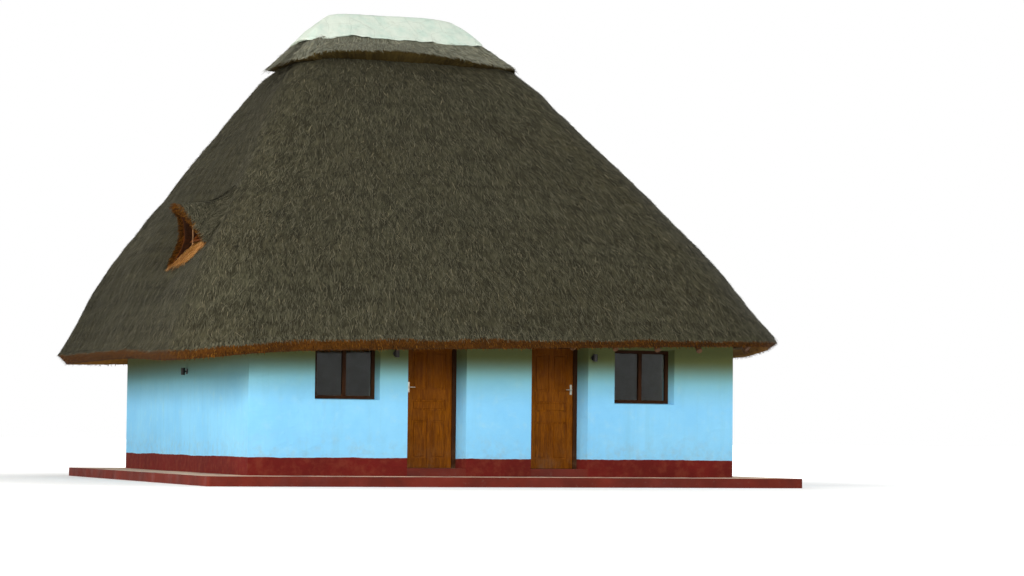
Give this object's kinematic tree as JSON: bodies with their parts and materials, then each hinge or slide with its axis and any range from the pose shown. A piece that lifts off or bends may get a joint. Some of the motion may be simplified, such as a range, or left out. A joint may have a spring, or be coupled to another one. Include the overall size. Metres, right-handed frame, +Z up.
{
  "type": "rondavel hut",
  "caption": "Thatched guest hut with plastered walls, soft hip roof, ridge collar and cap, hooded vent, panelled doors and casement windows.",
  "frame": {"origin": "middle of the walls' rectangle, at the underside of the plinth slab", "axes": "+Z up, -Y out of the front with the two doors, +X to the right seen from the front"},
  "size_m": [10.8, 10.35, 8.4187],
  "materials": {
    "blue_plaster": "painted lime plaster",
    "red_cement": "painted cement",
    "thatch": "weathered reed thatch",
    "pole_timber": "round poles, weathered",
    "sawn_timber": "sawn, rough",
    "door_wood": "stained hardwood",
    "frame_wood": "dark stained hardwood",
    "cap_cement": "weathered cement",
    "pane": "clear",
    "black_metal": "black paint",
    "handle_metal": "satin"
  },
  "bodies": {
    "root": {"plinth_slab": "red_cement", "room_floor": "red_cement", "threshold_left": "red_cement", "threshold_right": "red_cement", "front_wall_left": "blue_plaster", "front_wall_middle": "blue_plaster", "front_wall_right": "blue_plaster", "front_lintel_left": "blue_plaster", "front_lintel_right": "blue_plaster", "left_wall": "blue_plaster", "right_wall": "blue_plaster", "back_wall": "blue_plaster", "wall_plate_front": "sawn_timber", "wall_plate_back": "sawn_timber", "wall_plate_left": "sawn_timber", "wall_plate_right": "sawn_timber", "rafters_front": "pole_timber", "rafters_back": "pole_timber", "rafters_left": "pole_timber", "rafters_right": "pole_timber", "ridge_and_hip_poles": "pole_timber", "battens": "sawn_timber", "thatch_front": "thatch", "thatch_back": "thatch", "thatch_left": "thatch", "thatch_right": "thatch", "thatch_collar": "thatch", "vent_hood": "thatch", "vent_stick": "pole_timber", "ridge_cap": "cap_cement", "door_frame_left": "frame_wood", "door_frame_right": "frame_wood", "window_frame_left": "frame_wood", "window_frame_right": "frame_wood", "window_glass_left": "pane", "window_glass_right": "pane", "wall_lamp_left": "black_metal", "wall_lamp_right": "black_metal", "wall_lamp_side": "black_metal"},
    "door_left": {"door_leaf_left": "door_wood", "door_handle_left": "handle_metal"},
    "door_right": {"door_leaf_right": "door_wood", "door_handle_right": "handle_metal"}
  },
  "joints": [
    {"name": "door_left_hinge", "type": "hinge", "parent": "root", "child": "door_left", "pos_m": [-0.681, -3.743, 1.311], "axis": [0, 0, -1], "range_deg": [0, 100]},
    {"name": "door_right_hinge", "type": "hinge", "parent": "root", "child": "door_right", "pos_m": [0.681, -3.743, 1.311], "axis": [0, 0, 1], "range_deg": [0, 100]}
  ]
}
